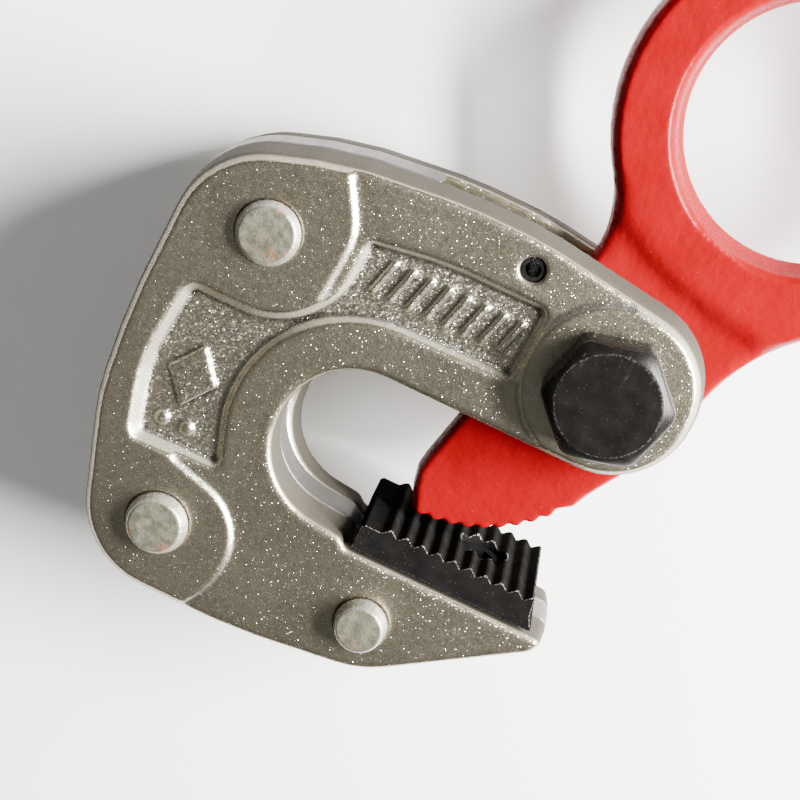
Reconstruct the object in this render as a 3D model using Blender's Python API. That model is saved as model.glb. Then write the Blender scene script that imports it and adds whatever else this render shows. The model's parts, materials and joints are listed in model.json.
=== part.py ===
"""Horizontal plate lifting clamp, built as separate parts around one pivot.

Two mirror-image cast side plates and a spacer plate are riveted into a C-shaped frame.
A forged lever, with a lifting ring at one end and a toothed cam at the other, turns on a
sleeve that a hex bolt clamps between the side plates. The cam closes on a toothed jaw pad.

Lengths below are in millimetres and MM turns them into metres. X runs along the jaw towards
its mouth, Y towards the lifting ring, and Z across the plates, up to the front face.
Plan positions are counted from the pivot axis, and heights from the middle plane.
"""
import math

import bmesh
import bpy
from mathutils import Vector

MM = 0.001
GAP = 0.3                    # clearance between pieces that touch

# --- heights from the middle plane -----------------------------------------------------
HALF_SPACE = 6.0             # half the space between the side plates
FACE = 20.0                  # raised outer face of a side plate
BASE = 18.8                  # lower rim round the throat, the arm and the jaw
FLOOR = 16.3                 # floor of the cast pocket
RELIEF = 17.5                # top of the raised marks in the pocket
REST = 30.0                  # depth of the plane that the clamp lies on

# --- frame plan ------------------------------------------------------------------------
ARM_END = 23.7               # radius of the arm's round end
ARM_TOP = 28.6
ARM_UNDER = -22.3
THROAT_X = -72.2             # closed end of the throat
SEAT_Y = -67.0               # ledge that the jaw pad sits on
PAD_START = -41.0
PAD_END = 10.4
HEEL_Y = -103.7              # bottom of the frame
THROAT_STEP = 0.5            # how far the spacer stands back in the throat
SPACER_CLEAR = 66.0          # radius that the spacer leaves free for the cam
RIM_LEAN = 0.8               # sideways run of a pocket wall per unit of depth

RIVET_UPPER = (-93.5, 0.0)
RIVET_HEEL = (-89.5, -83.3)
RIVET_JAW = (-30.0, -85.1)
STOP_PIN = (-30.4, 19.9)

# --- pivot -----------------------------------------------------------------------------
BOLT_R = 10.0                # M20 shank
HEX_ACROSS = 30.0            # across flats, bolt head and nut
HEX_TURN = 14                # degrees from +X to the first corner of the bolt head
HEAD_HEIGHT = 10.8
NUT_HEIGHT = 10.0
SLEEVE_R = 12.5
BUSH_R = 15.0
WASHER_R = 16.8
WASHER_SEAT = 3.3            # depth of the seat for the spring washer
HEX_BOSS = 22.5

# --- lever -----------------------------------------------------------------------------
ARM_HALF = 5.7               # half thickness between the side plates
RING_HALF = 8.0              # half thickness of the lifting ring
RING_CENTRE = (18.5, 77.3)
RING_OUTER = 50.8
RING_HOLE = 32.5
CAM_CENTRE = (-29.5, -13.7)  # centre of the arc that carries the cam's teeth
CAM_R = 42.5
CAM_TEETH = 9
TOOTH_PITCH = 4.5
LEFT_FILLET = ((-47.5, 30.7), 30.0)      # centre and radius of the hollow below the ring
RIGHT_FILLET = ((73.3, -7.2), 50.0)
CAM_TOOTH_DEPTH = 1.3

# --- jaw pad ---------------------------------------------------------------------------
PAD_TOP = -57.8
PAD_HALF = 19.5
PAD_TEETH = 10
PAD_TOOTH_DEPTH = 1.6
FIRST_TOOTH = -33.4
SCREW_X = -8.5
SCREW_R = 4.0                # M8
SCREW_HEAD_R = 6.2
SCREW_BORE_R = 6.7
SCREW_BORE_DEPTH = 6.6
SCREW_LENGTH = 16.0

ROUND_STEP = 8.0             # degrees of turn per segment on outlines
SEGMENTS = 40                # segments on a turned piece

# Corner points of the outside of the frame with their radii, anticlockwise.
OUTER_CORNERS = [
    (-30.5, ARM_TOP, 60.0), (-52.6, ARM_TOP, 80.0), (-84.0, 24.9, 60.0), (-117.4, 13.6, 26.0),
    (-120.1, -32.0, 120.0), (-118.7, -58.0, 60.0), (-106.0, HEEL_Y, 25.0), (-60.0, -104.0, 90.0),
    (-24.3, -99.2, 30.0), (13.8, -73.3, 3.5), (16.8, SEAT_Y, 2.6),
]

# Layers of a side plate: (depth below the face, set-back of its edge, lean of its throat wall).
FRONT_LAYERS = [(0.0, 2.9, 1.2), (1.2, 2.1, 1.2), (2.1, 1.35, 1.2), (3.6, 0.9, 1.2),
                (7.0, 0.5, 0.8), (13.2, 0.0, 0.0), (14.0, 0.8, 0.0)]
REAR_LAYERS = [(0.0, 2.9, 3.6), (1.2, 2.1, 3.6), (2.1, 1.35, 3.6), (3.6, 0.9, 3.6),
               (7.0, 0.5, 2.8), (12.6, 0.0, 1.2), (14.0, 0.8, 0.0)]

# Cast pocket: a tall lobe in the spine and a long lobe in the arm.
POCKET_CORNERS = [
    (-107.6, -19.4, 4.5), (-110.8, -44.0, 45.0), (-105.8, -65.4, 4.5), (-78.4, -65.0, 3.5),
    (-83.7, -47.0, 25.0), (-83.7, -11.4, 32.0), (-21.8, -9.8, 3.5), (-20.4, 14.2, 4.5),
    (-50.0, 13.9, 60.0), (-71.4, 10.4, 3.5), (-73.0, -19.4, 20.0),
]

# Area where the face drops to the lower rim: it leaves the spine and the hex boss raised.
LOW_CORNERS = [
    (-91.0, 42.0, 0.5), (-72.4, 9.0, 17.0), (-75.5, -23.5, 12.0), (-93.0, -30.0, 5.0),
    (-93.0, -65.0, 2.0), (-68.2, -71.6, 17.5), (-68.5, -97.0, 26.0), (-88.0, -114.0, 0.5), (40.0, -114.0, 0.5),
    (40.0, -38.0, 0.5), (3.0, -HEX_BOSS, 1.0), (-HEX_BOSS, -HEX_BOSS, 22.0),
    (-HEX_BOSS, HEX_BOSS, 22.0), (-4.0, HEX_BOSS, 1.0), (8.0, 42.0, 0.5),
]


def clear_scene():
    for item in list(bpy.data.objects):
        bpy.data.objects.remove(item, do_unlink=True)


def finish(name, colour, metallic, roughness):
    """One Principled material, named after its part."""
    made = bpy.data.materials.new(name)
    made.use_nodes = True
    shader = made.node_tree.nodes["Principled BSDF"]
    shader.inputs["Base Color"].default_value = (*colour, 1.0)
    shader.inputs["Metallic"].default_value = metallic
    shader.inputs["Roughness"].default_value = roughness
    made.diffuse_color = (*colour, 1.0)
    return made


# --- plan geometry ---------------------------------------------------------------------

def rounded_outline(corners, inset=0.0):
    """Points round a polygon whose corners are (x, y, radius), moved inwards by inset."""
    count = len(corners)
    area = sum(corners[i - 1][0] * corners[i][1] - corners[i][0] * corners[i - 1][1] for i in range(count))
    side = 1.0 if area > 0 else -1.0
    edges = []
    for i in range(count):
        start = Vector(corners[i][:2])
        along = (Vector(corners[(i + 1) % count][:2]) - start).normalized()
        inward = Vector((-along.y, along.x)) * side
        edges.append((start + inward * inset, along))
    points = []
    for i in range(count):
        before, u = edges[i - 1]
        after, v = edges[i]
        cross = u.x * v.y - u.y * v.x
        reach = ((after.x - before.x) * v.y - (after.y - before.y) * v.x) / cross
        corner = before + u * reach
        turn = math.atan2(cross, u.dot(v))
        bulges = turn * side > 0
        radius = max(0.05, corners[i][2] - inset if bulges else corners[i][2] + inset)
        hand = 1.0 if turn > 0 else -1.0
        first = corner - u * radius * abs(math.tan(turn / 2))
        centre = first + Vector((-u.y, u.x)) * radius * hand
        steps = max(1, round(abs(math.degrees(turn)) / ROUND_STEP))
        angle = math.atan2(first.y - centre.y, first.x - centre.x)
        for k in range(steps + 1):
            a = angle + turn * k / steps
            points.append((centre.x + radius * math.cos(a), centre.y + radius * math.sin(a)))
    return points


def arc(centre, radius, start, end, steps):
    """Points on an arc, angles in degrees, both ends included."""
    points = []
    for k in range(steps + 1):
        a = math.radians(start + (end - start) * k / steps)
        points.append((centre[0] + radius * math.cos(a), centre[1] + radius * math.sin(a)))
    return points


def circle(centre, radius, count=SEGMENTS):
    return arc(centre, radius, 0.0, 360.0, count)[:-1]


def moved_inwards(points, distance):
    """Each point of an anticlockwise loop moved along its inward normal."""
    moved = []
    for i, (x, y) in enumerate(points):
        ax, ay = points[i - 1]
        bx, by = points[(i + 1) % len(points)]
        normal = Vector((ay - by, bx - ax)).normalized()
        moved.append((x + normal.x * distance, y + normal.y * distance))
    return moved


# --- solids ----------------------------------------------------------------------------

def add_object(name, mesh_data, centre, cutter=False):
    made = bpy.data.objects.new(name, mesh_data)
    bpy.context.scene.collection.objects.link(made)
    made.parent = centre
    if cutter:
        made.hide_render = True
        made.display_type = "WIRE"
    return made


def mesh_from(name, vertices, faces):
    bm = bmesh.new()
    made = [bm.verts.new([value * MM for value in vertex]) for vertex in vertices]
    for face in faces:
        bm.faces.new([made[index] for index in face])
    bmesh.ops.recalc_face_normals(bm, faces=bm.faces)
    data = bpy.data.meshes.new(name)
    bm.to_mesh(data)
    bm.free()
    data.shade_smooth()
    data.set_sharp_from_angle(angle=math.radians(32))
    return data


def loft(name, layers, centre, cutter=False):
    """Closed body through loops of equal length, each given as (points, height)."""
    count = len(layers[0][0])
    vertices = [(x, y, height) for points, height in layers for x, y in points]
    faces = [list(range(count)), list(range(len(vertices) - count, len(vertices)))]
    for layer in range(len(layers) - 1):
        low = layer * count
        for i in range(count):
            j = (i + 1) % count
            faces.append([low + i, low + j, low + count + j, low + count + i])
    return add_object(name, mesh_from(name, vertices, faces), centre, cutter)


def turned_mesh(name, profile, segments, middle=(0.0, 0.0), closed=False):
    """Solid of revolution about Z from (radius, height) points; a radius of 0 is a pole."""
    vertices = []
    rows = []
    for radius, height in profile:
        if radius == 0.0:
            rows.append([len(vertices)] * segments)
            vertices.append((middle[0], middle[1], height))
            continue
        rows.append([len(vertices) + k for k in range(segments)])
        vertices += [(x, y, height) for x, y in circle(middle, radius, segments)]
    faces = []
    for row in range(len(profile) - (0 if closed else 1)):
        below, above = rows[row], rows[(row + 1) % len(profile)]
        for k in range(segments):
            n = (k + 1) % segments
            corner_list = [below[k], below[n], above[n], above[k]]
            faces.append(list(dict.fromkeys(corner_list)))
    return mesh_from(name, vertices, faces)


def turned(name, profile, centre, middle=(0.0, 0.0), closed=False, segments=SEGMENTS, cutter=False):
    return add_object(name, turned_mesh(name, profile, segments, middle, closed), centre, cutter)


def combine(target, tool, operation):
    step = target.modifiers.new(tool.name, "BOOLEAN")
    step.operation = operation
    step.solver = "EXACT"
    step.object = tool


def bore(target, centre, middle, radius, low, high, segments=SEGMENTS):
    """Round hole through target between two heights."""
    profile = [(0.0, low), (radius, low), (radius, high), (0.0, high)]
    tool = turned(f"{target.name}_bore", profile, centre, middle, segments=segments, cutter=True)
    combine(target, tool, "DIFFERENCE")


# --- frame -----------------------------------------------------------------------------

def pocket_marks(side, centre, name):
    """Plain raised marks on the pocket floor: a row of slanted bars, a lozenge and two studs."""
    shapes = []
    for k in range(8):
        x = -63.0 + 5.0 * k
        shapes.append([(x - 2.4, -3.4), (x - 0.4, -3.4), (x + 2.4, 6.4), (x + 0.4, 6.4)])
    shapes.append([(-96.5, -35.5), (-90.5, -43.5), (-96.5, -51.5), (-102.5, -43.5)])
    shapes.append(circle((-99.5, -57.3), 2.0, 12))
    shapes.append(circle((-92.5, -57.3), 2.0, 12))
    vertices = []
    faces = []
    for shape in shapes:
        start = len(vertices)
        count = len(shape)
        vertices += [(x, y, side * (FLOOR - 1.0)) for x, y in shape]
        vertices += [(x, y, side * RELIEF) for x, y in moved_inwards(shape, 0.5)]
        faces.append([start + i for i in range(count)])
        faces.append([start + count + i for i in range(count)])
        for i in range(count):
            j = (i + 1) % count
            faces.append([start + i, start + j, start + count + j, start + count + i])
    return add_object(name, mesh_from(name, vertices, faces), centre, cutter=True)


def throat_corners(step):
    """Corners round the throat, with its closed end and its roof moved inwards by step."""
    end = THROAT_X + step
    return [(-41.4, SEAT_Y, 0.5), (-44.0, -64.7, 4.0), (end, -62.0 - step * 0.1, 21.0 - step / 2),
            (end, ARM_UNDER - step * 0.3, 20.2 - step / 2)]


def plate_corners(step):
    arm_end = [(ARM_END, ARM_UNDER - step * 0.3, 22.5), (ARM_END, 21.2, 22.5)]
    return arm_end + OUTER_CORNERS + throat_corners(step)


def side_plate(name, side, centre):
    """Cast side plate; side is +1 for the front and -1 for the rear."""
    shape = FRONT_LAYERS if side > 0 else REAR_LAYERS
    layers = [(rounded_outline(plate_corners(lean), inset), side * (FACE - depth)) for depth, inset, lean in shape]
    plate = loft(name, layers, centre)
    low = [(rounded_outline(LOW_CORNERS, -1.4), side * (FACE + 0.2)), (rounded_outline(LOW_CORNERS), side * BASE)]
    combine(plate, loft(f"{name}_low", low, centre, cutter=True), "DIFFERENCE")
    heights = [FACE + 0.5, FLOOR]
    pocket = [(rounded_outline(POCKET_CORNERS, (FACE - h) * RIM_LEAN), side * h) for h in heights]
    combine(plate, loft(f"{name}_pocket", pocket, centre, cutter=True), "DIFFERENCE")
    combine(plate, pocket_marks(side, centre, f"{name}_marks"), "UNION")
    low_end, high_end = sorted((side * (HALF_SPACE - 1.0), side * (FACE + 1.0)))
    for middle, radius in ((RIVET_UPPER, 8.3), (RIVET_HEEL, 8.3), (RIVET_JAW, 7.0), (STOP_PIN, 3.3)):
        bore(plate, centre, middle, radius, low_end, high_end, 28)
    bore(plate, centre, (0.0, 0.0), BOLT_R + GAP, low_end, high_end)
    if side < 0:
        bore(plate, centre, (0.0, 0.0), WASHER_R + 0.8, -FACE - 1.0, -FACE + WASHER_SEAT)
    return plate


def spacer_plate(centre):
    half = HALF_SPACE - GAP
    arm_cut = [(-44.0, ARM_UNDER + THROAT_STEP, 1.0), (-44.0, ARM_TOP, 1.0)]
    corners = arm_cut + OUTER_CORNERS[1:] + throat_corners(-THROAT_STEP)
    outline = rounded_outline(corners)
    inner = rounded_outline(corners, 0.4)
    layers = [(inner, half), (outline, half - 0.4), (outline, 0.4 - half), (inner, -half)]
    plate = loft("spacer_plate", layers, centre)
    bore(plate, centre, (0.0, 0.0), SPACER_CLEAR, -8.0, 8.0, 96)
    for middle, radius in ((RIVET_UPPER, 8.3), (RIVET_HEEL, 8.3), (RIVET_JAW, 7.0)):
        bore(plate, centre, middle, radius, -8.0, 8.0, 28)
    depth = SCREW_LENGTH + 1.0 - (PAD_TOP - SEAT_Y)
    tool = cross_bore("spacer_screw_hole", SCREW_R + GAP, SEAT_Y + 1.0, SEAT_Y - depth, centre)
    combine(plate, tool, "DIFFERENCE")
    return plate


def cross_bore(name, radius, top, bottom, centre):
    """Round cutter along Y through the jaw pad screw's axis."""
    count = 24
    ring = [(SCREW_X + radius * math.cos(2 * math.pi * k / count),
             radius * math.sin(2 * math.pi * k / count)) for k in range(count)]
    vertices = [(x, y, z) for y in (top, bottom) for x, z in ring]
    faces = [list(range(count)), list(range(count, 2 * count))]
    for k in range(count):
        n = (k + 1) % count
        faces.append([k, n, count + n, count + k])
    return add_object(name, mesh_from(name, vertices, faces), centre, cutter=True)


def rivet(name, middle, radius, seat, end, head_r, head_bottom, centre):
    """Rivet with its round head at the rear and its hammered end at the front."""
    end_height, end_flat = end
    head_top = -(seat + GAP)
    drop = head_bottom - head_top
    dome = [(0.0, head_bottom), (head_r * 0.42, head_bottom), (head_r * 0.72, head_top + drop * 0.86),
            (head_r * 0.92, head_top + drop * 0.55), (head_r, head_top + drop * 0.15), (head_r, head_top)]
    front = seat + GAP
    rise = end_height - GAP
    button = [(radius, head_top), (radius, front), (radius + 0.5, front), (radius + 0.4, front + rise * 0.3),
              (end_flat + 0.6, front + rise * 0.85), (end_flat, front + rise), (0.0, front + rise)]
    return turned(name, dome + button, centre, middle, segments=28)


# --- pivot -----------------------------------------------------------------------------

def hexagon(across):
    radius = across / math.sqrt(3.0)
    return [(radius * math.cos(math.radians(a)), radius * math.sin(math.radians(a)))
            for a in range(HEX_TURN, HEX_TURN + 360, 60)]


def hex_blank(name, across, low, high, centre, chamfer_low, chamfer_high, cutter=False):
    """Hexagonal prism whose corners are turned down by a 36 degree chamfer."""
    prism = loft(name, [(hexagon(across), low), (hexagon(across), high)], centre, cutter)
    corner = across / math.sqrt(3.0)
    flat = across * 0.445
    fall = (corner + 1.0 - flat) * math.tan(math.radians(36.0))
    low_fall = fall if chamfer_low else 0.0
    high_fall = fall if chamfer_high else 0.0
    profile = [(0.0, low - 0.01), (flat if chamfer_low else corner + 1.0, low - 0.01),
               (corner + 1.0, low + low_fall), (corner + 1.0, high - high_fall),
               (flat if chamfer_high else corner + 1.0, high + 0.01), (0.0, high + 0.01)]
    profile = [point for i, point in enumerate(profile) if i == 0 or point != profile[i - 1]]
    cone = turned(f"{name}_chamfer", profile, centre, cutter=True)
    combine(prism, cone, "INTERSECT")
    return prism


def pivot_bolt(centre):
    seat = FACE + GAP
    bolt = hex_blank("pivot_bolt", HEX_ACROSS, seat, FACE + HEAD_HEIGHT, centre, False, True)
    shank = [(0.0, -REST), (BOLT_R - 1.2, -REST), (BOLT_R, -REST + 1.2), (BOLT_R, seat + 1.0), (0.0, seat + 1.0)]
    combine(bolt, turned("pivot_bolt_shank", shank, centre, cutter=True), "UNION")
    return bolt


def pivot_nut(centre):
    nut = hex_blank("pivot_nut", HEX_ACROSS, -REST, -REST + NUT_HEIGHT, centre, True, True)
    bore(nut, centre, (0.0, 0.0), BOLT_R + GAP, -REST - 1.0, -REST + NUT_HEIGHT + 1.0)
    return nut


def tube(name, inner, outer, half, centre, bevel=0.5):
    profile = [(inner, -half), (outer - bevel, -half), (outer, bevel - half),
               (outer, half - bevel), (outer - bevel, half), (inner, half)]
    return turned(name, profile, centre, closed=True)


def spring_washer(centre):
    """Split ring in the rear plate's seat."""
    outer = WASHER_R
    inner = BOLT_R + 0.4
    high = -FACE + WASHER_SEAT - GAP
    low = -FACE + GAP
    split = 4.0
    loop = arc((0.0, 0.0), outer, split, 360.0 - split, 36)
    loop += arc((0.0, 0.0), inner, 360.0 - split * 1.6, split * 1.6, 36)
    return loft("pivot_spring_washer", [(loop, low), (loop, high)], centre)


def stop_pin(centre):
    """Slotted spring pin that stops the opened lever."""
    x, y = STOP_PIN
    loop = arc((x, y), 3.0, 130.0, 460.0, 22)
    loop += arc((x, y), 2.1, 456.0, 134.0, 22)
    return loft("stop_pin", [(loop, -FACE + 2.4), (loop, BASE - 1.0)], centre)


# --- lever -----------------------------------------------------------------------------

def cam_teeth(inset=0.0):
    """Toothed edge of the cam, from the throat side towards the mouth."""
    pitch = math.degrees(TOOTH_PITCH / CAM_R)
    first = -90.0
    points = []
    for k in range(CAM_TEETH):
        for shift, depth in ((0.0, 0.15), (0.22, 0.0), (0.5, 0.35), (0.74, 1.0)):
            a = math.radians(first + (k + shift) * pitch)
            r = CAM_R - inset - depth * CAM_TOOTH_DEPTH
            points.append((CAM_CENTRE[0] + r * math.cos(a), CAM_CENTRE[1] + r * math.sin(a)))
    return points


def lever_outline():
    """Plan of the arm and cam, anticlockwise; its upper end lies inside the ring's bar."""
    outline = cam_teeth()
    outline += [(7.6, -36.2), (9.6, -31.6), (15.0, -22.6), (20.4, -11.4), (23.3, -2.0)]
    outline += arc(*RIGHT_FILLET, 167.0, 123.0, 9)
    outline += [(44.0, 37.5), (18.5, 40.0), (-16.0, 48.5)]
    outline += arc(*LEFT_FILLET, 33.0, 0.0, 6)
    outline += [(-19.6, 15.0), (-25.4, -8.0), (-30.2, -26.0), (-33.6, -40.0), (-34.3, -44.6), (-33.4, -49.4)]
    outline += [(-31.6, -54.2), (-30.9, -55.6)]
    return outline


def lever_layer(inset):
    """The lever's plan moved inwards; the teeth shrink less, towards the cam's centre."""
    loop = moved_inwards(lever_outline(), inset)
    teeth = cam_teeth(inset * 0.4)
    return teeth + loop[len(teeth):]


def neck_layer(inset, rise):
    """Plan of the thick neck under the ring; rise lifts its lower edge for the slope to the arm."""
    lower = [(-17.5 + inset, 34.6), (-6.1, 29.2), (4.6, 25.4), (18.9, 22.0), (31.0 - inset / 2, 20.4)]
    outline = [(x, y + rise) for x, y in lower]
    outline += arc(RIGHT_FILLET[0], RIGHT_FILLET[1] + inset, 136.0, 123.0, 3)
    outline += [(42.0, 40.5), (18.5, 40.7), (-15.0, 49.5)]
    outline += arc(LEFT_FILLET[0], LEFT_FILLET[1] + inset, 31.0, 21.0, 2)
    return outline


def lifting_lever(centre):
    """Forged lever: its origin is on the pivot axis."""
    profile = [(0.0, 0.0), (3.6, 0.55), (5.0, 1.2), (ARM_HALF, 2.3)]
    layers = [(lever_layer(inset), height) for height, inset in reversed(profile)]
    layers += [(lever_layer(inset), -height) for height, inset in profile[1:]]
    lever = loft("lifting_lever", layers, centre)
    profile = [(0.0, 0.0, 0.0), (4.0, 0.5, 0.8), (6.6, 1.5, 2.9), (RING_HALF, 2.9, 6.3)]
    layers = [(neck_layer(inset, rise), height) for height, inset, rise in reversed(profile)]
    layers += [(neck_layer(inset, rise), -height) for height, inset, rise in profile[1:]]
    combine(lever, loft("lever_neck", layers, centre, cutter=True), "UNION")
    section = [(RING_HOLE, 0.0), (RING_HOLE + 0.25, 1.0), (33.9, 3.4), (34.9, 6.6), (36.4, RING_HALF + 0.1),
               (47.9, RING_HALF + 0.1), (49.9, 6.5), (50.6, 3.6), (RING_OUTER, 0.0)]
    section += [(radius, -height) for radius, height in reversed(section[1:-1])]
    ring = turned("lever_ring", section, centre, RING_CENTRE, closed=True, segments=64, cutter=True)
    combine(lever, ring, "UNION")
    bore(lever, centre, (0.0, 0.0), BUSH_R + GAP, -9.0, 9.0)
    return lever


# --- jaw pad ---------------------------------------------------------------------------

def jaw_pad(centre):
    """Hardened toothed block across the whole jaw."""
    valley = PAD_TOP - PAD_TOOTH_DEPTH
    bottom = SEAT_Y + GAP
    outline = [(PAD_START, bottom), (PAD_END, bottom), (PAD_END - 2.0, bottom + 3.6)]
    for k in reversed(range(PAD_TEETH)):
        tip = FIRST_TOOTH + k * TOOTH_PITCH
        if k < PAD_TEETH - 1:
            outline.append((tip + TOOTH_PITCH / 2, valley))
        outline += [(tip + 0.35, PAD_TOP), (tip - 0.35, PAD_TOP)]
    outline += [(FIRST_TOOTH - TOOTH_PITCH / 2, valley), (PAD_START + 0.8, valley), (PAD_START, valley - 0.8)]
    pad = loft("jaw_pad", [(outline, PAD_HALF), (outline, -PAD_HALF)], centre)
    floor = PAD_TOP - SCREW_BORE_DEPTH
    combine(pad, cross_bore("pad_head_bore", SCREW_BORE_R, PAD_TOP + 1.0, floor, centre), "DIFFERENCE")
    combine(pad, cross_bore("pad_shank_bore", SCREW_R + GAP, floor + 1.0, bottom - 1.0, centre), "DIFFERENCE")
    return pad


def jaw_pad_screw(centre):
    """Cap screw with a hexagon socket, sunk in the pad's bore."""
    seat = PAD_TOP - SCREW_BORE_DEPTH + GAP
    top = PAD_TOP - 2.4
    tip = seat - SCREW_LENGTH + 6.0
    profile = [(0.0, tip), (SCREW_R - 0.7, tip), (SCREW_R, tip + 0.7), (SCREW_R, seat), (SCREW_HEAD_R, seat),
               (SCREW_HEAD_R, top - 0.6), (SCREW_HEAD_R - 0.6, top), (0.0, top)]
    screw = turned("jaw_pad_screw", profile, centre, segments=28)
    socket = [(x * 0.2, y * 0.2) for x, y in hexagon(HEX_ACROSS)]
    tool = loft("screw_socket", [(socket, top - 2.2), (socket, top + 1.0)], centre, cutter=True)
    combine(screw, tool, "DIFFERENCE")
    for piece in (screw, tool):
        piece.rotation_euler = (-math.pi / 2, 0.0, 0.0)
        piece.location = (SCREW_X * MM, 0.0, 0.0)
    return screw


def build():
    clear_scene()
    centre = bpy.data.objects.new("pivot_axis", None)
    bpy.context.scene.collection.objects.link(centre)
    centre.location = (0.0, 0.0, REST * MM)

    cast = ((0.42, 0.39, 0.33), 0.9, 0.42)
    steel = ((0.45, 0.45, 0.40), 0.7, 0.55)
    black = ((0.03, 0.03, 0.028), 0.6, 0.45)
    plan = [
        (side_plate("front_side_plate", 1.0, centre), cast),
        (side_plate("rear_side_plate", -1.0, centre), cast),
        (spacer_plate(centre), ((0.32, 0.31, 0.29), 0.9, 0.35)),
        (lifting_lever(centre), ((0.72, 0.03, 0.025), 0.0, 0.3)),
        (tube("lever_bush", SLEEVE_R + GAP, BUSH_R, ARM_HALF, centre), ((0.55, 0.36, 0.14), 1.0, 0.35)),
        (tube("pivot_sleeve", BOLT_R + GAP, SLEEVE_R, HALF_SPACE - GAP, centre), ((0.5, 0.5, 0.5), 1.0, 0.25)),
        (pivot_bolt(centre), black),
        (spring_washer(centre), black),
        (pivot_nut(centre), black),
        (rivet("rivet_upper", RIVET_UPPER, 8.0, FACE, (3.0, 6.9), 13.6, -REST, centre), steel),
        (rivet("rivet_heel", RIVET_HEEL, 8.0, FACE, (4.0, 6.8), 13.6, -REST, centre), steel),
        (rivet("rivet_jaw", RIVET_JAW, 6.7, BASE, (5.2, 5.9), 11.6, -REST, centre), steel),
        (stop_pin(centre), ((0.3, 0.3, 0.3), 1.0, 0.35)),
        (jaw_pad(centre), ((0.035, 0.033, 0.032), 0.5, 0.4)),
        (jaw_pad_screw(centre), ((0.03, 0.03, 0.03), 0.6, 0.4)),
    ]
    for piece, (colour, metallic, roughness) in plan:
        piece.data.materials.append(finish(piece.name, colour, metallic, roughness))


build()
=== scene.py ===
"""Plate lifting clamp: visual pieces, materials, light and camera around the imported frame."""
import json
import math

import bmesh
import bpy
import numpy
from mathutils import Euler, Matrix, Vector


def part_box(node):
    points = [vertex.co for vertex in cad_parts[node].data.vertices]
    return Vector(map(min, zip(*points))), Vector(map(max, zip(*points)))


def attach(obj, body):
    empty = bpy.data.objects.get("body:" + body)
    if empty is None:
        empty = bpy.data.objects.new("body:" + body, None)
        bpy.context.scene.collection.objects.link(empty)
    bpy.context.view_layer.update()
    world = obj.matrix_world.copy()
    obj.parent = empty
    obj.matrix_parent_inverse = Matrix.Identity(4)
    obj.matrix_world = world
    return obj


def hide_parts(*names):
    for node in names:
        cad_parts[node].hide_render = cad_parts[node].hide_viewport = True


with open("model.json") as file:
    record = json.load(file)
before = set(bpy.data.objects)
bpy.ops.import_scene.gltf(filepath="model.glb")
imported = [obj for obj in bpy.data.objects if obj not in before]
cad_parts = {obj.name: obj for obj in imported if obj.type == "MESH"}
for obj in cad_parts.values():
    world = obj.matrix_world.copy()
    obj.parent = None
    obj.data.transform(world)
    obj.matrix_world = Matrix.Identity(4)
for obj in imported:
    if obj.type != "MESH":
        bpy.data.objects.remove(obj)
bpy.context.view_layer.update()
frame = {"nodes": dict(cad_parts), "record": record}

MM = 0.001
BODIES = frame["record"]["behaviour"]["bodies"]

# The clamp, in mm. Heights in the castings are from the middle plane.
MID = 30.0                      # height of the clamp's middle plane
POCKET_HEIGHTS = (17.2, 18.4)   # the pockets' grain fades out between these
INNER_HEIGHTS = (12.5, 14.0)    # and again towards the plates' inner faces
RING_CENTRE = (18.5, 77.3)      # centre of the lever's ring
NECK_REACH = (42.0, 62.0)       # distances from that centre between which the neck's step lies
NECK_TOP = 50.0                 # the step is below this line
WEB_HALF = 4.6                  # half the thickness that the step leaves alone

HEX_TURN = 14.0                 # degrees from +X to the first corner of the bolt head
HEAD_SEAT = MID + 20.3          # height of the head's underside
HEAD_FLAT = 15.0                # half the width across the flats
HEAD_CIRCLE = 13.4              # radius of the round flat on top, inside the chamfer
HEAD_CHAMFER = 36.0             # degrees
CORNER_CUT = 0.55               # taken off each corner
HEAD_POINTS = 180               # points round the head
SHANK_RADIUS = 10.0
SHANK_CHAMFER = 1.2
MARK_RADIUS = 13.15             # ring worn into the blacking on the head's top

# The photograph's viewpoint
CAMERA_PLACE = (-52.57, 122.68, 513.48)    # mm
CAMERA_TURN = (-16.317, 6.806, 24.547)     # degrees about X, Y and Z
CAMERA_LENS = 86.85                        # mm, on a sensor 36 mm wide

# The studio, in metres
FLOOR_HALF = 3.0
FLOOR_DROP = 0.0002
LAMP_AIM = (-0.03, -0.02, 0.03)
LAMP_SIZE = (0.70, 0.13)


# --- node helpers ----------------------------------------------------------------------

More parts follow.
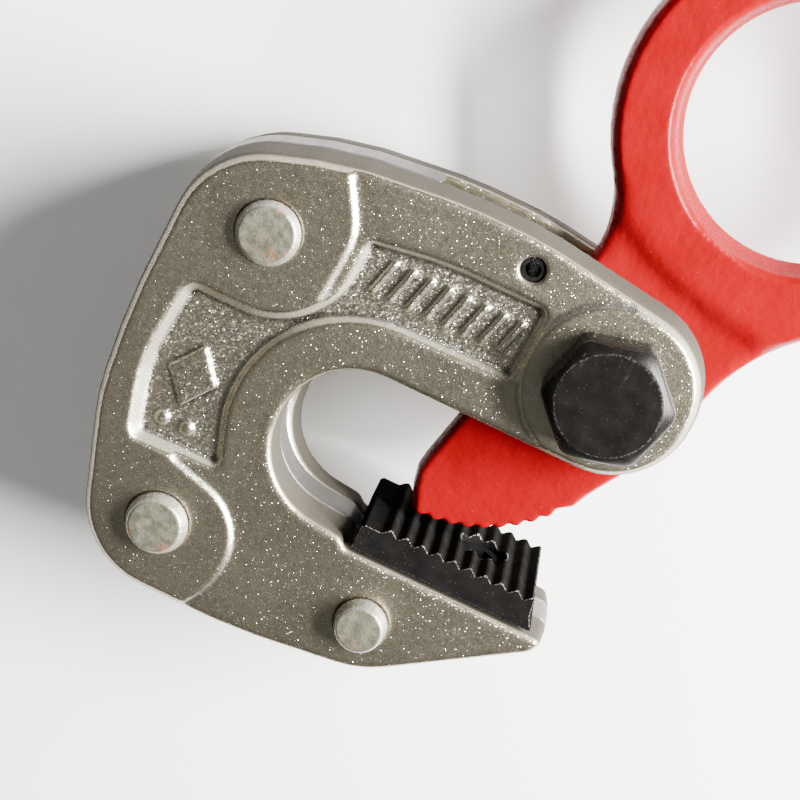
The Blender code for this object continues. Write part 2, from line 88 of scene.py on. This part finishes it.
class Shade:
    """A Principled material whose textures are laid out in millimetres of the object."""

    def __init__(self, name, metallic, specular=0.5):
        self.material = bpy.data.materials.new(name)
        self.material.use_nodes = True
        self.tree = self.material.node_tree
        self.shader = self.tree.nodes["Principled BSDF"]
        self.shader.inputs["Metallic"].default_value = metallic
        self.shader.inputs["Specular IOR Level"].default_value = specular
        place = self.tree.nodes.new("ShaderNodeTexCoord")
        self.point = self.vector("MULTIPLY", place.outputs["Object"], (1.0 / MM,) * 3)

    def link(self, value, socket):
        if isinstance(value, bpy.types.NodeSocket):
            self.tree.links.new(value, socket)
        else:
            socket.default_value = value

    def link_colour(self, value, socket):
        self.link(value if isinstance(value, bpy.types.NodeSocket) else (*value, 1.0), socket)

    def vector(self, operation, a, b):
        node = self.tree.nodes.new("ShaderNodeVectorMath")
        node.operation = operation
        self.link(a, node.inputs[0])
        self.link(b, node.inputs[1])
        return node.outputs["Vector"]

    def math(self, operation, a, b=0.0, clamp=False):
        node = self.tree.nodes.new("ShaderNodeMath")
        node.operation = operation
        node.use_clamp = clamp
        self.link(a, node.inputs[0])
        self.link(b, node.inputs[1])
        return node.outputs[0]

    def times(self, a, b, clamp=False):
        return self.math("MULTIPLY", a, b, clamp)

    def plus(self, a, b):
        return self.math("ADD", a, b)

    def minus(self, a, b):
        return self.math("SUBTRACT", a, b)

    def noise(self, size, detail=2.0, stretch=None, roughness=0.5):
        """Noise from 0 to 1 whose features are about size millimetres across."""
        node = self.tree.nodes.new("ShaderNodeTexNoise")
        point = self.point if stretch is None else self.vector("MULTIPLY", self.point, stretch)
        self.link(point, node.inputs["Vector"])
        node.inputs["Scale"].default_value = 1.0 / size
        node.inputs["Detail"].default_value = detail
        node.inputs["Roughness"].default_value = roughness
        return node.outputs["Fac"]

    def cells(self, size):
        """(distance, colour) of irregular cells about size millimetres across."""
        node = self.tree.nodes.new("ShaderNodeTexVoronoi")
        self.link(self.point, node.inputs["Vector"])
        node.inputs["Scale"].default_value = 1.0 / size
        return node.outputs["Distance"], node.outputs["Color"]

    def dots(self, distance, colour, edge, centre, share):
        """A round dot in the middle of a share of the cells, 1 inside centre and 0 past edge."""
        picked = self.ramp(self.random_of(colour), 1.0 - share, 1.02 - share)
        return self.times(self.ramp(distance, edge, centre), picked, clamp=True)

    def ramp(self, value, low, high, to_low=0.0, to_high=1.0):
        node = self.tree.nodes.new("ShaderNodeMapRange")
        self.link(value, node.inputs["Value"])
        node.inputs["From Min"].default_value = low
        node.inputs["From Max"].default_value = high
        node.inputs["To Min"].default_value = to_low
        node.inputs["To Max"].default_value = to_high
        return node.outputs["Result"]

    def mix(self, factor, a, b):
        node = self.tree.nodes.new("ShaderNodeMix")
        node.data_type = "RGBA"
        self.link(factor, node.inputs[0])
        self.link_colour(a, node.inputs[6])
        self.link_colour(b, node.inputs[7])
        return node.outputs[2]

    def part_of(self, vector, index):
        node = self.tree.nodes.new("ShaderNodeSeparateXYZ")
        self.link(vector, node.inputs[0])
        return node.outputs[index]

    def from_axis(self):
        """Distance from the object's Z axis."""
        x, y = self.part_of(self.point, 0), self.part_of(self.point, 1)
        return self.math("SQRT", self.plus(self.times(x, x), self.times(y, y)))

    def random_of(self, colour):
        node = self.tree.nodes.new("ShaderNodeSeparateColor")
        self.link(colour, node.inputs[0])
        return node.outputs[0]

    def upright(self):
        """1 on faces square to the clamp's Z axis, 0 on its walls."""
        node = self.tree.nodes.new("ShaderNodeNewGeometry")
        return self.math("ABSOLUTE", self.part_of(node.outputs["Normal"], 2))

    def edges(self, low, high):
        """0 to 1 as pointiness goes from low to high: under 0.5 in hollows, over it on edges."""
        node = self.tree.nodes.new("ShaderNodeNewGeometry")
        return self.ramp(node.outputs["Pointiness"], low, high)

    def bump(self, height, depth):
        """Bump whose full height is depth millimetres."""
        node = self.tree.nodes.new("ShaderNodeBump")
        self.link(height, node.inputs["Height"])
        node.inputs["Distance"].default_value = depth * MM
        return node.outputs["Normal"]

    def tilted(self, normal, colour, amount):
        """Tilts each cell's normal at random, like the grain of a plated casting."""
        node = self.tree.nodes.new("ShaderNodeVectorMath")
        node.operation = "SCALE"
        self.link(self.vector("SUBTRACT", colour, (0.5, 0.5, 0.5)), node.inputs[0])
        self.link(amount, node.inputs["Scale"])
        summed = self.vector("ADD", normal, node.outputs["Vector"])
        return self.vector("NORMALIZE", summed, (0.0, 0.0, 0.0))

    def finish(self, colour, roughness, normal):
        self.link_colour(colour, self.shader.inputs["Base Color"])
        self.link(roughness, self.shader.inputs["Roughness"])
        self.link(normal, self.shader.inputs["Normal"])
        return self.material


# --- materials -------------------------------------------------------------------------

def cast_plating():
    """Plated casting: warm grey metal with fine bright specks (partly painted glint), coarser in the
    pockets.
    """
    s = Shade("cast_plating", metallic=1.0, specular=0.06)
    height = s.math("ABSOLUTE", s.minus(s.part_of(s.point, 2), MID))
    flat = s.upright()
    wall = s.ramp(flat, 0.72, 0.40)
    pocket = s.times(s.ramp(height, *reversed(POCKET_HEIGHTS)), s.ramp(height, *INNER_HEIGHTS))
    rough_skin = s.times(pocket, s.ramp(flat, 0.84, 0.95))
    # Slopes of the pockets and spine, away from convex edges; below they get a painted highlight.
    slope = s.times(s.ramp(flat, 0.985, 0.93), s.ramp(flat, 0.55, 0.72))
    slope = s.times(slope, s.edges(0.512, 0.503))
    worn = s.times(s.edges(0.52, 0.60), s.ramp(s.noise(0.8, 3.0), 0.4, 0.6), clamp=True)
    crease = s.edges(0.495, 0.478)
    patch = s.noise(26.0, 3.0)
    mottle = s.noise(1.3, 4.0, roughness=0.65)
    grain = s.cells(0.26)[1]
    coarse = s.cells(0.48)[1]
    speck_distance, speck = s.cells(0.36)
    dot = s.dots(speck_distance, speck, edge=0.31, centre=0.13, share=0.50)
    dot = s.times(dot, s.minus(1.0, wall), clamp=True)

    base = s.mix(s.ramp(patch, 0.3, 0.7), (0.355, 0.317, 0.228), (0.430, 0.388, 0.288))
    base = s.mix(s.ramp(mottle, 0.42, 0.75, 0.0, 0.28), base, (0.225, 0.195, 0.135))
    base = s.mix(s.times(rough_skin, 0.32), base, (0.62, 0.58, 0.47))
    base = s.mix(s.times(worn, 0.12), base, (0.72, 0.70, 0.64))
    # Painted highlight: the slopes are lightened to stand in for the lamps' glare on them.
    base = s.mix(s.times(slope, 0.55), base, (0.80, 0.77, 0.69))
    # Darker in the creases.
    base = s.mix(s.times(crease, 0.85), base, (0.040, 0.034, 0.026))
    # Painted shade: the walls are made nearly black so that they look shaded.
    base = s.mix(s.times(wall, 0.92), base, (0.026, 0.023, 0.021))
    # The specks' near-white colour is partly painted glint; their normals are tilted below so they
    # also catch real glints.
    base = s.mix(dot, base, (0.92, 0.90, 0.84))
    # Part of the walls' painted shade: they lose most of their metal, so they reflect little.
    s.link(s.minus(1.0, s.times(wall, 0.94)), s.shader.inputs["Metallic"])

    rough = s.minus(s.ramp(mottle, 0.3, 0.7, 0.30, 0.38), s.times(dot, 0.10))
    rough = s.plus(rough, s.times(wall, 0.40))
    skin = s.plus(s.noise(0.5, 3.0), s.times(s.noise(4.5, 2.0), 1.6))
    normal = s.bump(skin, 0.06)
    normal = s.tilted(normal, grain, 0.15)
    normal = s.tilted(normal, coarse, s.times(rough_skin, 0.42))
    normal = s.tilted(normal, speck, s.times(dot, 1.1))
    return s.finish(base, rough, normal)


def smooth_plate():
    """Plated rolled plate, much smoother than the castings."""
    s = Shade("smooth_plate", metallic=0.7)
    cloud = s.noise(9.0, 3.0)
    streak = s.noise(1.4, 3.0, stretch=(1.0, 1.0, 0.12))
    base = s.mix(s.ramp(cloud, 0.3, 0.7), (0.105, 0.100, 0.094), (0.150, 0.145, 0.135))
    return s.finish(base, s.ramp(streak, 0.3, 0.7, 0.42, 0.54), s.bump(streak, 0.05))


def red_paint():
    """Thick gloss paint over a forging, with a slight orange peel."""
    s = Shade("red_paint", metallic=0.0, specular=0.13)
    cloud = s.noise(14.0, 3.0)
    dust = s.dots(*s.cells(2.6), edge=0.09, centre=0.05, share=0.28)
    base = s.mix(s.ramp(cloud, 0.3, 0.7), (0.150, 0.0002, 0.0018), (0.172, 0.0003, 0.0026))
    base = s.mix(s.times(dust, 0.35), base, (0.35, 0.05, 0.04))
    peel = s.plus(s.noise(1.7, 2.0), s.times(s.noise(7.0, 2.0), 3.0))
    rough = s.ramp(s.noise(2.2, 3.0), 0.3, 0.7, 0.24, 0.32)
    return s.finish(base, rough, s.bump(peel, 0.11))


def black_oxide(name, colour, rough, grain_depth, metallic=0.0, specular=0.0, marks=0.0, wear=0.0):
    """Blackened steel with faint scratches and dust, bare along worn edges or round marks."""
    s = Shade(name, metallic, specular)
    cloud = s.noise(4.0, 4.0)
    scratch = s.noise(0.7, 3.0, stretch=(0.9, 0.06, 0.5))
    dust = s.dots(*s.cells(0.7), edge=0.16, centre=0.08, share=0.20)
    base = s.mix(s.ramp(cloud, 0.3, 0.7), colour, tuple(c * 1.7 for c in colour))
    base = s.mix(s.times(dust, 0.22), base, (0.25, 0.25, 0.24))
    if marks:
        ring = s.ramp(s.math("ABSOLUTE", s.minus(s.from_axis(), MARK_RADIUS)), 0.35, 0.05)
        scrape = s.ramp(s.noise(1.1, 2.0, stretch=(1.0, 0.05, 1.0)), 0.66, 0.74)
        nick = s.ramp(s.noise(0.6, 3.0), 0.46, 0.62)
        light = s.times(s.math("MAXIMUM", ring, scrape), nick, clamp=True)
        base = s.mix(s.times(light, marks), base, (0.22, 0.22, 0.21))
    if wear:
        worn = s.times(s.edges(0.525, 0.56), s.ramp(s.noise(0.5, 3.0), 0.46, 0.6), clamp=True)
        base = s.mix(s.times(worn, wear), base, (0.40, 0.40, 0.39))
    height = s.plus(s.noise(0.5, 3.0), scratch)
    return s.finish(base, s.ramp(cloud, 0.3, 0.7, *rough), s.bump(height, grain_depth))


def rivet_steel():
    """Dull zinc on a hammered rivet end, with smears of orange primer."""
    s = Shade("rivet_steel", metallic=0.7, specular=0.45)
    cloud = s.noise(2.6, 4.0, roughness=0.6)
    # flank marks the rivet's tapered side, which gets a painted highlight below.
    flank = s.ramp(s.upright(), 0.92, 0.70)
    smear = s.times(s.ramp(s.noise(5.2, 2.0), 0.585, 0.64),
                    s.ramp(s.noise(0.8, 2.0), 0.35, 0.6), clamp=True)
    base = s.mix(s.ramp(cloud, 0.38, 0.64), (0.135, 0.130, 0.092), (0.215, 0.208, 0.155))
    base = s.mix(s.ramp(s.noise(0.6, 2.0), 0.55, 0.72, 0.0, 0.5), base, (0.070, 0.068, 0.050))
    base = s.mix(s.times(smear, 0.75), base, (0.36, 0.105, 0.045))
    # Painted highlight: the flank is made much lighter to stand in for the light it catches.
    base = s.mix(s.times(flank, 0.6), base, (0.56, 0.55, 0.50))
    height = s.plus(s.times(s.noise(3.0, 2.0), 2.0), s.noise(0.5, 3.0))
    rough = s.minus(s.ramp(cloud, 0.3, 0.7, 0.42, 0.56), s.times(flank, 0.16))
    return s.finish(base, rough, s.bump(height, 0.10))


def machined(name, colour, rough):
    """Turned or drawn metal with fine rings."""
    s = Shade(name, metallic=1.0)
    turn = s.noise(0.35, 2.0, stretch=(0.15, 0.15, 1.0))
    base = s.mix(s.ramp(s.noise(3.0, 3.0), 0.3, 0.7), colour, tuple(c * 0.72 for c in colour))
    return s.finish(base, s.ramp(turn, 0.3, 0.7, rough, rough + 0.12), s.bump(turn, 0.02))


def floor_paper():
    """Pale matt paper with a faint glow, so that it stays pale far from the lamps."""
    s = Shade("floor_paper", metallic=0.0, specular=0.2)
    s.shader.inputs["Emission Color"].default_value = (1.0, 1.0, 0.99, 1.0)
    s.shader.inputs["Emission Strength"].default_value = 0.14
    return s.finish((0.90, 0.90, 0.89), 0.85, s.bump(s.noise(1.5, 2.0), 0.02))


# --- pieces ----------------------------------------------------------------------------

def add_piece(name, mesh, node, material):
    """A new visible piece that stands for the CAD node and moves with its body."""
    piece = bpy.data.objects.new(name, mesh)
    bpy.context.scene.collection.objects.link(piece)
    mesh.materials.clear()
    mesh.materials.append(material)
    body = "lever" if node in BODIES["lever"] else "frame"
    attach(piece, body)
    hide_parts(node)
    return piece


def soft_copy(name, node, material, voxel, rounds):
    """The node's shape with its edges rounded as on a casting, forging or worn piece."""
    piece = add_piece(name, frame["nodes"][node].data.copy(), node, material)
    remesh = piece.modifiers.new("skin", "REMESH")
    remesh.mode = "VOXEL"
    remesh.voxel_size = voxel * MM
    remesh.use_smooth_shade = True
    smooth = piece.modifiers.new("soften", "SMOOTH")
    smooth.factor = 0.5
    smooth.iterations = rounds
    return piece


def melt(piece, weight_of, rounds):
    """Gives the piece its finished mesh, smoothed further where weight_of(points) is above 0."""
    evaluated = piece.evaluated_get(bpy.context.evaluated_depsgraph_get())
    mesh = bpy.data.meshes.new_from_object(evaluated)
    count = len(mesh.vertices)
    points = numpy.empty(count * 3, dtype=numpy.float32)
    mesh.vertices.foreach_get("co", points)
    points = points.reshape(-1, 3).astype(float)
    ends = numpy.empty(len(mesh.edges) * 2, dtype=numpy.int32)
    mesh.edges.foreach_get("vertices", ends)
    first, second = ends.reshape(-1, 2).T
    degree = numpy.bincount(ends, minlength=count)[:, None]
    weight = 0.5 * weight_of(points / MM)[:, None]
    for _ in range(rounds):
        around = numpy.stack([numpy.bincount(first, points[second, k], count)
                              + numpy.bincount(second, points[first, k], count) for k in range(3)], 1)
        points += weight * (around / degree - points)
    mesh.vertices.foreach_set("co", points.astype(numpy.float32).ravel())
    mesh.update()
    piece.modifiers.clear()
    piece.data = mesh


def neck_weight(points):
    """1 on the step between the lever's ring and its arm, 0 elsewhere, with soft borders."""
    start, end = NECK_REACH
    away = numpy.hypot(points[:, 0] - RING_CENTRE[0], points[:, 1] - RING_CENTRE[1])
    near = numpy.clip((away - start) / 3.0, 0.0, 1.0) * numpy.clip((end - away) / 4.0, 0.0, 1.0)
    below = numpy.clip((NECK_TOP - points[:, 1]) / 5.0, 0.0, 1.0)
    outer = numpy.clip((numpy.abs(points[:, 2] - MID) - WEB_HALF) / 0.8, 0.0, 1.0)
    return near * below * outer


def hex_radius(angle, shrink):
    """Radius of the head's hexagon at an angle, shrunk by some mm, with its corners cut."""
    sector = math.pi / 3
    half = sector / 2
    local = (angle - math.radians(HEX_TURN) + half) % sector - half
    flat = HEAD_FLAT - shrink
    return min(flat / math.cos(half - abs(local)), flat / math.cos(half) - CORNER_CUT)


def hex_head(node, material):
    """Bolt head with rounded corners and a turned chamfer, and its shank below."""
    low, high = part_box(node)
    top, tip = high[2] / MM, low[2] / MM
    slope = math.tan(math.radians(HEAD_CHAMFER))
    mesh = bpy.data.meshes.new("pivot_bolt_body")
    bm = bmesh.new()
    rows = []

    def row(radius_of, height_of):
        points = []
        for k in range(HEAD_POINTS):
            a = 2 * math.pi * k / HEAD_POINTS
            r = radius_of(a)
            place = Vector((r * math.cos(a), r * math.sin(a), height_of(r))) * MM
            points.append(bm.verts.new(place))
        rows.append(points)

    def round_row(radius, height):
        row(lambda a: radius, lambda r: height)

    def chamfer(r):
        return top - (r - HEAD_CIRCLE) * slope

    round_row(SHANK_RADIUS - SHANK_CHAMFER, tip)
    round_row(SHANK_RADIUS, tip + SHANK_CHAMFER)
    round_row(SHANK_RADIUS, HEAD_SEAT)
    row(lambda a: hex_radius(a, 0.5), lambda r: HEAD_SEAT)
    row(lambda a: hex_radius(a, 0.1), lambda r: HEAD_SEAT + 0.3)
    for shrink, drop in ((0.0, 0.45), (0.12, 0.12), (0.45, 0.0)):
        row(lambda a: hex_radius(a, shrink), lambda r: chamfer(r) - drop)
    row(lambda a: HEAD_CIRCLE + 0.25, chamfer)
    round_row(HEAD_CIRCLE - 0.25, top - 0.03)
    for radius in (HEAD_CIRCLE - 0.7, 9.0, 5.0, 1.0):
        round_row(radius, top)
    for lower, upper in zip(rows, rows[1:]):
        for k in range(HEAD_POINTS):
            n = (k + 1) % HEAD_POINTS
            bm.faces.new((lower[k], lower[n], upper[n], upper[k]))
    bm.faces.new(list(reversed(rows[0])))
    bm.faces.new(rows[-1])
    bmesh.ops.recalc_face_normals(bm, faces=bm.faces)
    bm.to_mesh(mesh)
    bm.free()
    mesh.shade_smooth()
    mesh.set_sharp_from_angle(angle=math.radians(50))
    add_piece("pivot_bolt_body", mesh, node, material)


def finish_node(node, material, bevel):
    """Shows the CAD node itself, with its material and its edges broken by bevel mm."""
    piece = frame["nodes"][node]
    for slot in piece.material_slots:
        slot.material = material
    edge = piece.modifiers.new("edge", "BEVEL")
    edge.width = bevel * MM
    edge.segments = 2
    edge.limit_method = "ANGLE"
    edge.angle_limit = math.radians(40)


def build():
    plating = cast_plating()
    soft_copy("front_plate_casting", "front_side_plate", plating, voxel=0.5, rounds=12)
    soft_copy("rear_plate_casting", "rear_side_plate", plating, voxel=0.6, rounds=9)
    lever = soft_copy("lever_forging", "lifting_lever", red_paint(), voxel=0.5, rounds=6)
    melt(lever, neck_weight, rounds=60)
    pad_black = black_oxide("pad_black", (0.0042, 0.0040, 0.0038), (0.34, 0.46), 0.05, wear=0.7)
    soft_copy("jaw_pad_block", "jaw_pad", pad_black, voxel=0.25, rounds=1)
    soft_copy("spacer_body", "spacer_plate", smooth_plate(), voxel=0.6, rounds=2)
    steel = rivet_steel()
    for node in ("rivet_upper", "rivet_heel", "rivet_jaw"):
        soft_copy(node + "_body", node, steel, voxel=0.28, rounds=2)

    bolt_black = black_oxide("bolt_black", (0.0040, 0.0036, 0.0032), (0.25, 0.34), 0.025,
                             metallic=0.2, specular=0.20, marks=0.16)
    hex_head("pivot_bolt", bolt_black)
    finish_node("pivot_nut", bolt_black, 0.3)
    finish_node("pivot_spring_washer", bolt_black, 0.15)
    screw_black = black_oxide("screw_black", (0.004, 0.004, 0.004), (0.4, 0.5), 0.02)
    finish_node("jaw_pad_screw", screw_black, 0.15)
    finish_node("stop_pin", machined("pin_steel", (0.030, 0.029, 0.028), 0.42), 0.1)
    finish_node("pivot_sleeve", machined("sleeve_steel", (0.5, 0.5, 0.5), 0.22), 0.1)
    finish_node("lever_bush", machined("bush_bronze", (0.55, 0.36, 0.14), 0.3), 0.1)


# --- camera, light and floor -----------------------------------------------------------

def place_camera():
    data = bpy.data.cameras.new("camera")
    data.sensor_width = 36.0
    data.lens = CAMERA_LENS
    data.clip_start = 0.01
    camera = bpy.data.objects.new("camera", data)
    bpy.context.scene.collection.objects.link(camera)
    camera.location = Vector(CAMERA_PLACE) * MM
    camera.rotation_euler = Euler([math.radians(a) for a in CAMERA_TURN], "XYZ")
    bpy.context.scene.camera = camera


def lamp(name, place, power, colour):
    """A long strip light aimed at the clamp."""
    data = bpy.data.lights.new(name, "AREA")
    data.shape = "RECTANGLE"
    data.size, data.size_y = LAMP_SIZE
    data.energy = power
    data.color = colour
    item = bpy.data.objects.new(name, data)
    bpy.context.scene.collection.objects.link(item)
    item.location = place
    item.rotation_euler = (Vector(LAMP_AIM) - Vector(place)).to_track_quat("-Z", "Y").to_euler()


def lay_floor():
    e = FLOOR_HALF
    mesh = bpy.data.meshes.new("floor")
    mesh.from_pydata([(-e, -e, 0), (e, -e, 0), (e, e, 0), (-e, e, 0)], [], [(0, 1, 2, 3)])
    mesh.materials.append(floor_paper())
    floor = bpy.data.objects.new("floor", mesh)
    floor.location = (0.0, 0.0, -FLOOR_DROP)
    bpy.context.scene.collection.objects.link(floor)


def light_world():
    """Dim even light, weaker near the horizon than overhead."""
    world = bpy.data.worlds.new("studio")
    bpy.context.scene.world = world
    world.use_nodes = True
    tree = world.node_tree
    place = tree.nodes.new("ShaderNodeTexCoord")
    split = tree.nodes.new("ShaderNodeSeparateXYZ")
    tree.links.new(place.outputs["Generated"], split.inputs[0])
    height = tree.nodes.new("ShaderNodeMapRange")
    tree.links.new(split.outputs[2], height.inputs["Value"])
    height.inputs["From Min"].default_value = 0.1
    height.inputs["From Max"].default_value = 0.9
    height.inputs["To Min"].default_value = 0.35
    background = tree.nodes["Background"]
    tree.links.new(height.outputs["Result"], background.inputs["Color"])
    background.inputs["Strength"].default_value = 0.20


def studio():
    lay_floor()
    light_world()
    lamp("key", (0.66, 0.33, 0.60), 78.0, (1.0, 0.985, 0.96))
    lamp("rim", (0.80, 0.38, 0.34), 60.0, (1.0, 0.99, 0.97))


place_camera()
build()
studio()
